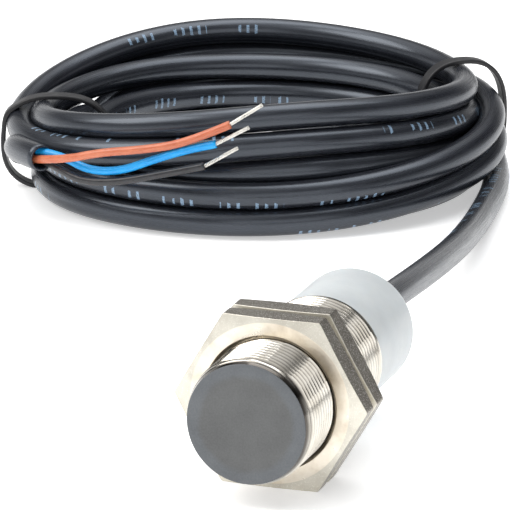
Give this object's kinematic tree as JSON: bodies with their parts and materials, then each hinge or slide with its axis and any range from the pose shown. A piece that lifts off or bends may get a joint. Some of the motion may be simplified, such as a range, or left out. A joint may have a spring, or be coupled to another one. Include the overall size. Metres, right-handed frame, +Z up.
{
  "type": "inductive proximity sensor",
  "caption": "Cylindrical threaded inductive proximity sensor with two thin hexagon nuts, translucent end cap and a coiled cable with bare wire ends.",
  "frame": {"origin": "on the surface that the nuts rest on, under the middle of the sensor's length and width", "axes": "+Y along the barrel's axis from the sensing face to the cable's exit, +Z up from the surface, +X across the barrel"},
  "size_m": [0.1035, 0.187, 0.024],
  "materials": {
    "nickel_brass": "bright nickel plating on brass",
    "nickel_nuts": "satin nickel plating on brass, faintly warm",
    "face_plastic": "matt dark blue-grey moulded plastic with fine grain",
    "ferrite": "sintered ferrite, matt",
    "bobbin_plastic": "natural moulded plastic",
    "copper": "enamelled copper wire",
    "carrier_plastic": "black moulded plastic",
    "board": "green solder mask on glass-fibre board",
    "chip_black": "moulded epoxy package",
    "ceramic": "ceramic",
    "led_lens": "clear yellow lens",
    "tinned": "tinned metal",
    "end_plastic": "milky translucent moulded plastic",
    "seal_rubber": "rubber",
    "jacket": "satin black cable jacket",
    "wire_brown": "brown wire insulation",
    "wire_blue": "blue wire insulation",
    "wire_black": "black wire insulation",
    "resin": "cured potting resin",
    "tie_nylon": "black nylon"
  },
  "bodies": {
    "housing": {"threaded_barrel": "nickel_brass", "sensing_face": "face_plastic", "ferrite_core": "ferrite", "coil_bobbin": "bobbin_plastic", "copper_winding": "copper", "core_carrier": "carrier_plastic", "circuit_board": "board", "oscillator_chip": "chip_black", "output_transistor": "chip_black", "voltage_regulator": "chip_black", "protection_diode": "chip_black", "capacitors": "ceramic", "resistors": "chip_black", "indicator_leds": "led_lens", "coil_pins": "tinned", "solder_joints": "tinned", "end_cap": "end_plastic", "cable_seal": "seal_rubber", "cable_clamp": "tinned", "cable_inner_end": "jacket", "inner_wire_brown": "wire_brown", "inner_wire_black": "wire_black", "inner_wire_blue": "wire_blue", "potting_resin": "resin", "cable_lead": "jacket", "cable_coil": "jacket", "cable_tail": "jacket", "wire_brown": "wire_brown", "wire_blue": "wire_blue", "wire_black": "wire_black", "strands_brown": "tinned", "strands_blue": "tinned", "strands_black": "tinned", "tie_right": "tie_nylon", "tie_left": "tie_nylon"},
    "front_nut_body": {"front_nut": "nickel_nuts"},
    "rear_nut_body": {"rear_nut": "nickel_nuts"}
  },
  "joints": [
    {"name": "front_nut_travel", "type": "slide", "parent": "housing", "child": "front_nut_body", "axis": [0, -1, 0], "range_m": [0, 0.0093]},
    {"name": "rear_nut_travel", "type": "slide", "parent": "housing", "child": "rear_nut_body", "axis": [0, 1, 0], "range_m": [0, 0.0139]}
  ]
}
